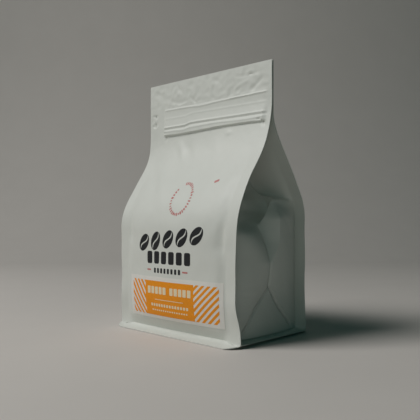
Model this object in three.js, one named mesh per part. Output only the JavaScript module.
// A flat-bottomed coffee bag of matt white film, filled and shut, with a paper label.
// Millimetres, +Z up, the printed front facing -Y, the origin on the ground under the middle.
// The bag is one solid: rings of points run round it from the base flange to the top edge.

import * as THREE from 'three';

// The whole bag
const HEIGHT = 207;
const WIDTH = 135;
const SIDE_SEAL = 9.5;
const FILM_PAIR = 0.7;

// How far each seam stands off the flat top: straight ramps with rounded ends
const FRONT_RIGHT = { top: -3.6, reach: -38.4, low: 98, high: 153, round: 27 };
const FRONT_LEFT = { top: -3.6, reach: -34.4, low: 95, high: 144, round: 15 };
const REAR = { top: -2.3, reach: 43.8, low: 102, high: 159, round: 11 };

// The full belly: the panels bow out, which draws the side seals in
const FRONT_CROWN = 4.4;
const REAR_CROWN = 5.35;
const SIDE_ROLL = 0.9;
const ROLL_WIDTH = 9;
const FRAME_FOOT = 2.5;
const FOOT_TUCK = { back: 1.8, high: 13 };
const FRAME_CORNER = 12;
const BELLY_DRAW = 2.5;
const BELLY_TOP = { low: 95, high: 155, round: 20 };
const BASE_TUCK = 2.5;
const TUCK_TOP = 33;
const TUCK_FOOT = 6;
const CROWN_RISE = { low: 2, high: 18 };

// The side gusset, folded in above the coffee and pushed out below it
const GUSSET_HALF = 42.5;
const GUSSET_STEP = 3;
const GUSSET_BULGE = 5;
const BULGE_RISE = 22;
const KITE_FOOT = 57;
const KITE_FOOT_WIDTH = 3;
const KITE_WIDTH = 9;
const KITE_FULL = 74;
const KITE_NARROWS = 16;
const KITE_SHARE = 0.36;
const MIDDLE_SHIFT = { out: 3.2, low: 70, high: 110 };
const VALLEY_TOP = 106.4;
const VALLEY_AT_TOP = 39.4;
const VALLEY_BLEND = 8;
const UNDERCUT = { back: 18, out: 4, low: 84, full: 95, outLow: 94, keep: 6, fade: 50 };
const NEAR_EDGE = { foot: 85, top: 103.8, low: 0.1, high: 0.93 };
const BELLY_END = { low: 76, high: 96 };
const FOLD_SHARP = { extra: 5, high: 88 };
const FOLD_OPENS = { low: 0.5, high: 9 };
const HOLLOW = { depth: 11, low: 78, full: 98, fall: 118, high: 156, lean: 0.7 };
const PINCH = 104.5;
const PINCH_WIDTH = 13.5;
const PINCH_BACK = 9;
const RIDGE_FOOT = 76;
const RIDGE_DROP = 2;
const FLANK_CURVE = 0.8;
const SHELF_FALL = 2.5;
const FACET_FLAT = 1;
const SHELF_DROP = 3.5;
const SPINE = 5;
const SPINE_SHARE = 0.15;
const POCKET = { depth: 9, share: 0.85, low: 5, keep: 8, high: 48 };

// The folds in the side gusset that square off the base
const BASE_FOLD = 39;

// The zip band: raised lines across the front, each with its height, relief and half width
const ZIP_LINES = [
  { z: 164.4, out: 0.5, half: 1.1 },
  { z: 168.6, out: 0.8, half: 1.2 },
  { z: 184, out: 0.4, half: 1.2 },
];
const ZIP_POCKET = 0.3;
const ZIP_FOOT = 161;
const ZIP_STEP = 0.4;
const ZIP_TOP = { low: 186, high: 200 };
const ZIP_LEFT = -48;
const ZIP_RIGHT = 62;
const ZIP_FADE = 5;

// The flange round the base, from its bead out to its tip and in under the bag
const BEAD_X = 58.5;
const BEAD_Y = 38.1;
const BEAD_SKEW = 1.9;
const FLANGE_CORNER = 9;
const FLANGE = [
  { front: 0, frontZ: 2.5, side: 0, sideZ: 3.4, seals: true },
  { front: 1.7, frontZ: 2, side: 1.6, sideZ: 2.9, seals: true },
  { front: 8.1, frontZ: 0.8, side: 8.5, sideZ: 2.4 },
  { front: 8.1, frontZ: 0.2, side: 8.5, sideZ: 1.8 },
  { front: 0.5, frontZ: 0.3, side: 0.5, sideZ: 1 },
  { front: -3, frontZ: 0, side: -3, sideZ: 0 },
];

// The label
const LABEL = { middle: 2.7, bottom: 12, width: 103, height: 32.5, gap: 0.2, thick: 0.25 };

// How finely the rings are drawn
const PANEL_CELLS = 18;
const GUSSET_CELLS = 6;

const FILM_COLOUR = '#c2c3bc';
const LABEL_COLOUR = '#d8892a';

// Zero below a, one above b, and a smooth rise between
function rise(a, b, value) {
  return THREE.MathUtils.smoothstep(value, a, b);
}

function mix(a, b, share) {
  return a + (b - a) * share;
}

// The positive part of a number, its corner rounded
function softPart(value, round) {
  if (Math.abs(value) >= round) {
    return Math.max(value, 0);
  }
  return (value + round) ** 2 / (4 * round);
}

// One below the ramp, zero above it
function ramp(z, { low, high, round }) {
  return 1 - (softPart(z - low, round) - softPart(z - high, round)) / (high - low);
}

function tuck(z) {
  return BASE_TUCK * (1 - rise(TUCK_FOOT, TUCK_TOP, z));
}

// The middle of the front and rear side seals, in Y
function frontSeam(x, z) {
  const right = FRONT_RIGHT.top + FRONT_RIGHT.reach * ramp(z, FRONT_RIGHT);
  const left = FRONT_LEFT.top + FRONT_LEFT.reach * ramp(z, FRONT_LEFT);
  return mix(left, right, 0.5 + x / WIDTH) + tuck(z);
}

function rearSeam(z) {
  return REAR.top + REAR.reach * ramp(z, REAR) - tuck(z);
}

// Where the gusset joins the side seals, in X
function rootX(z) {
  return WIDTH / 2 - SIDE_SEAL - BELLY_DRAW * ramp(z, BELLY_TOP) * rise(TUCK_FOOT, TUCK_TOP, z);
}

// How far a point of a panel lies inside its flat sealed frame, whose corners are rounded
function insideFrame(x, z) {
  const fromSide = Math.max(FRAME_CORNER - (rootX(z) - Math.abs(x)), 0);
  const fromFoot = Math.max(FRAME_CORNER - (z - FRAME_FOOT), 0);
  return FRAME_CORNER - Math.hypot(fromSide, fromFoot);
}

// How far a panel bows out: a broad curve, and a quicker roll next to its frame
function crown(height, x, z) {
  const across = Math.max(1 - (x / rootX(z)) ** 2, 0);
  const broad = height * rise(CROWN_RISE.low, CROWN_RISE.high, z) * across;
  const side = SIDE_ROLL * rise(0, ROLL_WIDTH, insideFrame(x, z));
  const share = (FOOT_TUCK.high - z) / (FOOT_TUCK.high - FRAME_FOOT);
  const foot = Math.min(Math.max(share, 0), 1) ** 2;
  const tucked = FOOT_TUCK.back * foot * rise(0, ROLL_WIDTH, rootX(z) - Math.abs(x));
  return ramp(z, BELLY_TOP) * (broad + side) - tucked;
}

function zipRelief(x, z) {
  const across = rise(ZIP_LEFT - ZIP_FADE, ZIP_LEFT, x) * (1 - rise(ZIP_RIGHT - ZIP_FADE, ZIP_RIGHT, x));
  let out = ZIP_POCKET * rise(ZIP_FOOT - ZIP_STEP, ZIP_FOOT + ZIP_STEP, z);
  out *= 1 - rise(ZIP_TOP.low, ZIP_TOP.high, z);
  for (const line of ZIP_LINES) {
    out += line.out * Math.max(1 - Math.abs(z - line.z) / line.half, 0);
  }
  return out * across;
}

function frontSkin(x, z) {
  return frontSeam(x, z) - FILM_PAIR / 2 - crown(FRONT_CROWN, x, z) - zipRelief(x, z);
}

function rearSkin(x, z) {
  return rearSeam(z) + FILM_PAIR / 2 + crown(REAR_CROWN, x, z);
}

// The inner faces of the two seals on one side, in a frame whose v runs from
// the seal beside the smooth half of the gusset to the one beside the pinched half
function sealFaces(side, z) {
  const front = frontSeam(side * rootX(z), z) + FILM_PAIR / 2;
  const rear = rearSeam(z) - FILM_PAIR / 2;
  const [start, end] = side > 0 ? [front, rear] : [-rear, -front];
  const shift = MIDDLE_SHIFT.out * rise(BASE_FOLD / 2, BASE_FOLD, z);
  const back = side * shift * (1 - rise(MIDDLE_SHIFT.low, MIDDLE_SHIFT.high, z));
  return { start, end, middle: (start + end) / 2 + back, half: (end - start) / 2 };
}

// The belly of the gusset, flat below the base folds. share is 0 at the middle, 1 at a seal
function flank(share, half, z) {
  const above = half * (z / BASE_FOLD - 1 + share);
  const bulge = above > 0 ? GUSSET_BULGE * (1 - Math.exp(-above / BULGE_RISE)) : 0;
  return rootX(z) + (GUSSET_STEP + bulge) * Math.max(1 - share ** 2, 0) ** FLANK_CURVE;
}

// The line where the gusset folds in: on the belly at the foot of the kite, straight up
// from there, and deep in the fold above the pinch
function foldLine({ middle, half }, z) {
  if (z <= KITE_FOOT) {
    return { v: middle, x: flank(0, half, z) };
  }
  const open = rise(FOLD_OPENS.low, FOLD_OPENS.high, half);
  const deep = Math.sqrt(Math.max(GUSSET_HALF ** 2 - half ** 2, 0)) * open;
  const share = (z - KITE_FOOT) / (VALLEY_TOP - KITE_FOOT);
  const straight = mix(flank(0, half, KITE_FOOT), VALLEY_AT_TOP, share);
  const blend = rise(VALLEY_TOP - VALLEY_BLEND, VALLEY_TOP + VALLEY_BLEND, z);
  return { v: middle, x: mix(straight, rootX(z) - deep, blend) };
}

// The bottom of the fold: on that line low down, and undercut behind the kite above
function valley(face, z) {
  const { v, x } = foldLine(face, z);
  const behind = 1 - rise(UNDERCUT.keep, UNDERCUT.fade, z - PINCH);
  return {
    v: v + UNDERCUT.back * rise(UNDERCUT.low, UNDERCUT.full, z) * behind,
    x: x + UNDERCUT.out * rise(UNDERCUT.outLow, PINCH, z) * behind,
  };
}

// How wide the kite is, as a share of the half that it lies on
function kiteShare(half, z) {
  const opening = mix(KITE_FOOT_WIDTH, KITE_WIDTH, rise(KITE_FOOT, KITE_FULL, z));
  const width = mix(opening, PINCH_WIDTH, rise(PINCH - KITE_NARROWS, PINCH, z));
  return Math.min(width / half, KITE_SHARE);
}

// The near edge of the kite's face, which runs across from the fold to the pinch
function nearEdge(face, ridge, z) {
  const line = foldLine(face, z);
  const deep = valley(face, z);
  const over = rise(NEAR_EDGE.top - 1, PINCH, z);
  const fold = { v: mix(line.v, deep.v, over), x: mix(line.x, deep.x, over) };
  const climb = (z - NEAR_EDGE.foot) / (NEAR_EDGE.top - NEAR_EDGE.foot);
  const share = mix(NEAR_EDGE.low, NEAR_EDGE.high, THREE.MathUtils.clamp(climb, 0, 1));
  return { v: mix(fold.v, ridge.v, share), x: mix(fold.x, ridge.x, share) };
}

// The half that folds in smoothly, share 0 at the valley and 1 at the seal
function smoothHalf(face, share, z) {
  const { start, half } = face;
  const fold = valley(face, z);
  const belly = 1 - rise(BELLY_END.low, BELLY_END.high, z);
  const full = mix(rootX(z), flank(share, half, z), belly);
  const centre = mix(rootX(z), flank(0, half, z), belly);
  const sharp = 1 + FOLD_SHARP.extra * (1 - rise(KITE_FOOT, FOLD_SHARP.high, z));
  const x = full - (centre - fold.x) * Math.max(1 - share, 0) ** sharp;
  const { depth, low, full: whole, fall, high, lean } = HOLLOW;
  const hollow = rise(low, whole, z) * (1 - rise(fall, high, z)) * Math.sin(Math.PI * share ** lean);
  return { v: mix(fold.v, start, share), x: x - depth * hollow };
}

// The pinched half, share 0 at the ridge and 1 at the seal: belly below a slanting
// line, a facet above it, and a shelf where the film drops back into the fold
function pinchedHalf(face, share, z) {
  const { middle, end, half } = face;
  const fold = valley(face, z);
  const ridge = kiteShare(half, z);
  const across = mix(ridge, 1, share);
  const slant = mix(PINCH - RIDGE_DROP, RIDGE_FOOT, share ** FLANK_CURVE);
  const shelf = PINCH - SHELF_FALL * share ** 2;
  const onFacet = THREE.MathUtils.clamp((z - slant) / Math.max(shelf - slant, 1), 0, 1);
  const fall = mix(SPINE, SHELF_DROP, rise(0, SPINE_SHARE, share));
  const drop = rise(shelf, shelf + fall, z);
  const bowl = Math.sin(Math.PI * Math.min(share / POCKET.share, 1)) * rise(0, POCKET.low, z - PINCH);
  const pocket = POCKET.depth * bowl * (1 - rise(POCKET.keep, POCKET.high, z - PINCH));
  const inside = mix(fold.x, rootX(z), share) - pocket;
  const low = Math.min(z, PINCH);
  const back = PINCH_BACK * rise(PINCH - KITE_NARROWS, PINCH, z);
  const straight = mix(flank(ridge, half, low) - back, rootX(z), share);
  const round = flank(across, half, low) - back * (1 - share) ** 2;
  const outside = mix(round, straight, FACET_FLAT * onFacet);
  const v = mix(mix(middle + ridge * half, end, share), mix(fold.v, end, share), drop);
  return { v, x: mix(outside, inside, drop) };
}

// The points of one gusset at one height, from seal face to seal face
function gussetPoints(side, z) {
  const face = sealFaces(side, z);
  const columns = [];
  for (let i = 0; i < GUSSET_CELLS; i++) {
    columns.push(smoothHalf(face, 1 - i / GUSSET_CELLS, z));
  }
  const fold = valley(face, z);
  const ridge = pinchedHalf(face, 0, z);
  columns.push(fold, nearEdge(face, ridge, z), ridge);
  for (let i = 1; i < GUSSET_CELLS; i++) {
    columns.push(pinchedHalf(face, i / (GUSSET_CELLS - 1), z));
  }
  return columns.map(({ v, x }) => [side * x, side * v, z]);
}

function panelPoints(skin, z, direction) {
  const points = [];
  for (let i = 0; i <= PANEL_CELLS; i++) {
    const x = direction * rootX(z) * ((2 * i) / PANEL_CELLS - 1);
    points.push([x, skin(x, z), z]);
  }
  return points;
}

// The two end corners of a side seal: its outer face is the panel's, its inner the gusset's
function sealTip(x, seam, outward, z) {
  const half = FILM_PAIR / 2;
  return [[x, seam + outward * half, z], [x, seam - outward * half, z]];
}

// One ring round the bag: front, right, rear and left, anticlockwise from above
function bodyRing(z) {
  const tip = rootX(z) + SIDE_SEAL;
  const rear = rearSeam(z);
  return [
    ...panelPoints(frontSkin, z, 1),
    ...sealTip(tip, frontSeam(tip, z), -1, z),
    ...gussetPoints(1, z),
    ...sealTip(tip, rear, 1, z).reverse(),
    ...panelPoints(rearSkin, z, -1),
    ...sealTip(-tip, rear, 1, z),
    ...gussetPoints(-1, z),
    ...sealTip(-tip, frontSeam(-tip, z), -1, z).reverse(),
  ];
}

// A ring of the base flange: a rounded rectangle with the same number of points
function flangeRing({ front, frontZ, side, sideZ, seals }) {
  const halfX = BEAD_X + side;
  const frontY = (x) => -BEAD_Y - (BEAD_SKEW * x) / BEAD_X - front;
  const rearY = BEAD_Y + front;
  const radius = seals ? FILM_PAIR : FLANGE_CORNER;
  const inX = seals ? BEAD_X : halfX - radius;
  const middleZ = (frontZ + sideZ) / 2;
  const corner = (signX, signY, turn) => {
    const edge = signY > 0 ? rearY : frontY(signX * inX);
    const angle = (Math.PI / 6) * turn;
    if (seals) {
      return [(signX * WIDTH) / 2, edge - signY * radius * (turn - 1), frontZ];
    }
    const x = signX * (inX + radius * Math.sin(angle));
    return [x, edge - signY * radius * (1 - Math.cos(angle)), middleZ];
  };
  const sidePoints = (signX) => {
    const gusset = gussetPoints(signX, FLANGE[0].sideZ);
    const last = gusset.length - 1;
    const y0 = (signX > 0 ? frontY(inX) : rearY) + signX * radius;
    const y1 = (signX > 0 ? rearY : frontY(-inX)) - signX * radius;
    return gusset.map((point, i) => {
      const share = (point[1] - gusset[0][1]) / (gusset[last][1] - gusset[0][1]);
      return [signX * halfX, mix(y0, y1, share), sideZ];
    });
  };
  const along = (direction, edge) => {
    const points = [];
    for (let i = 0; i <= PANEL_CELLS; i++) {
      const x = direction * inX * ((2 * i) / PANEL_CELLS - 1);
      points.push([x, edge(x), frontZ]);
    }
    return points;
  };
  return [
    ...along(1, frontY), corner(1, -1, 1), corner(1, -1, 2),
    ...sidePoints(1), corner(1, 1, 2), corner(1, 1, 1),
    ...along(-1, () => rearY), corner(-1, 1, 1), corner(-1, 1, 2),
    ...sidePoints(-1), corner(-1, -1, 2), corner(-1, -1, 1),
  ];
}

// The heights of the rings: the base folds pass through the corners of the first ones
function bodyLevels() {
  const levels = [];
  for (let i = 1; i <= GUSSET_CELLS; i++) {
    levels.push((BASE_FOLD * i) / GUSSET_CELLS);
  }
  levels.push(45, 51, KITE_FOOT, 63, 69, RIDGE_FOOT, 80, 84, 88, 92, 96, 100, PINCH);
  levels.push(106.2, 108, 111, 115, 119, 123, 128, 133, 138, 142, 147, 152, 157);
  levels.push(ZIP_FOOT - ZIP_STEP, ZIP_FOOT + ZIP_STEP);
  for (const line of ZIP_LINES) {
    levels.push(line.z - line.half, line.z, line.z + line.half);
  }
  levels.push(176, 192, 200, HEIGHT);
  return levels.sort((a, b) => a - b);
}

// A mesh from flat lists of points and of triangles, one closed body
function mesh(name, points, triangles, colour, roughness) {
  const geometry = new THREE.BufferGeometry();
  geometry.setAttribute('position', new THREE.Float32BufferAttribute(points.flat(), 3));
  geometry.setIndex(triangles.flat());
  geometry.computeVertexNormals();
  const material = new THREE.MeshStandardMaterial({ color: colour, roughness, metalness: 0 });
  const part = new THREE.Mesh(geometry, material);
  part.name = name;
  return part;
}

// Two triangles between neighbouring rings, the diagonal laid along the base folds
function quad(a, b, c, d, falling) {
  return falling ? [[a, b, d], [b, c, d]] : [[a, b, c], [a, c, d]];
}

function pouch() {
  const rings = [...FLANGE.map(flangeRing).reverse(), ...bodyLevels().map(bodyRing)];
  const count = rings[0].length;
  const points = rings.flat();
  const triangles = [];
  const panel = PANEL_CELLS + 1;
  const gusset = 2 * GUSSET_CELLS + 2;
  const isFalling = (i) => {
    const turn = i % (panel + gusset + 4);
    return turn >= panel + 2 + GUSSET_CELLS && turn < panel + 2 + gusset;
  };
  for (let ring = 0; ring < rings.length - 1; ring++) {
    for (let i = 0; i < count; i++) {
      const next = (i + 1) % count;
      const low = ring * count;
      const high = low + count;
      triangles.push(...quad(low + i, low + next, high + next, high + i, isFalling(i)));
    }
  }
  // The flat underside, a fan about its middle
  const under = points.push([0, 0, 0]) - 1;
  for (let i = 0; i < count; i++) {
    triangles.push([under, (i + 1) % count, i]);
  }
  triangles.push(...topEdge(points, (rings.length - 1) * count, panel, gusset));
  return mesh('pouch', points, triangles, FILM_COLOUR, 0.6);
}

// The cut top edge: strips between front and rear film, and the four seal ends
function topEdge(points, first, panel, gusset) {
  const triangles = [];
  const rearStart = first + panel + gusset + 4;
  const front = (i) => first + i;
  const rear = (i) => rearStart + panel - 1 - i;
  for (let i = 1; i < panel - 2; i++) {
    triangles.push(...quad(front(i), front(i + 1), rear(i + 1), rear(i), false));
  }
  const ends = [
    [front(panel - 2), first + panel - 1, gusset, rear(panel - 2)],
    [rear(1), rearStart + panel - 1, gusset, front(1)],
  ];
  for (const [before, corner, cells, after] of ends) {
    const [x, , z] = points[before];
    const hub = points.push([x + Math.sign(x) * 2, (REAR.top + FRONT_RIGHT.top) / 2, z]) - 1;
    const inner = corner + 3;
    const last = inner + cells - 1;
    const far = corner === first + panel - 1 ? last + 3 : first;
    const loop = [before, corner];
    for (let i = inner; i <= last; i++) {
      loop.push(i);
    }
    loop.push(far, after);
    for (let i = 0; i < loop.length; i++) {
      triangles.push([hub, loop[i], loop[(i + 1) % loop.length]]);
    }
    triangles.push(...quad(corner, corner + 1, corner + 2, inner, false));
    triangles.push(...quad(last, last + 1, last + 2, far, false));
  }
  return triangles;
}

// The label: a thin sheet that follows the front film just off its face
function label() {
  const { middle, bottom, width, height, gap, thick } = LABEL;
  const columns = 18;
  const levels = [bottom, ...bodyLevels().filter((z) => z > bottom + 1 && z < bottom + height - 1)];
  levels.push(bottom + height);
  const points = [];
  for (const off of [gap, gap + thick]) {
    for (const z of levels) {
      for (let i = 0; i <= columns; i++) {
        const x = middle + width * (i / columns - 0.5);
        points.push([x, frontSkin(x, z) - off, z]);
      }
    }
  }
  const row = columns + 1;
  const sheet = row * levels.length;
  const triangles = [];
  for (let j = 0; j < levels.length - 1; j++) {
    for (let i = 0; i < columns; i++) {
      const a = j * row + i;
      triangles.push(...quad(a, a + row, a + row + 1, a + 1, false));
      triangles.push(...quad(sheet + a, sheet + a + 1, sheet + a + row + 1, sheet + a + row, false));
    }
  }
  const edge = [];
  for (let i = 0; i < columns; i++) {
    edge.push(i);
  }
  for (let j = 0; j < levels.length - 1; j++) {
    edge.push(j * row + columns);
  }
  for (let i = columns; i > 0; i--) {
    edge.push((levels.length - 1) * row + i);
  }
  for (let j = levels.length - 1; j > 0; j--) {
    edge.push(j * row);
  }
  edge.forEach((a, i) => {
    const b = edge[(i + 1) % edge.length];
    triangles.push(...quad(a, b, sheet + b, sheet + a, false));
  });
  return mesh('label', points, triangles, LABEL_COLOUR, 0.55);
}

const group = new THREE.Group();
group.add(pouch());
group.add(label());

export default group;
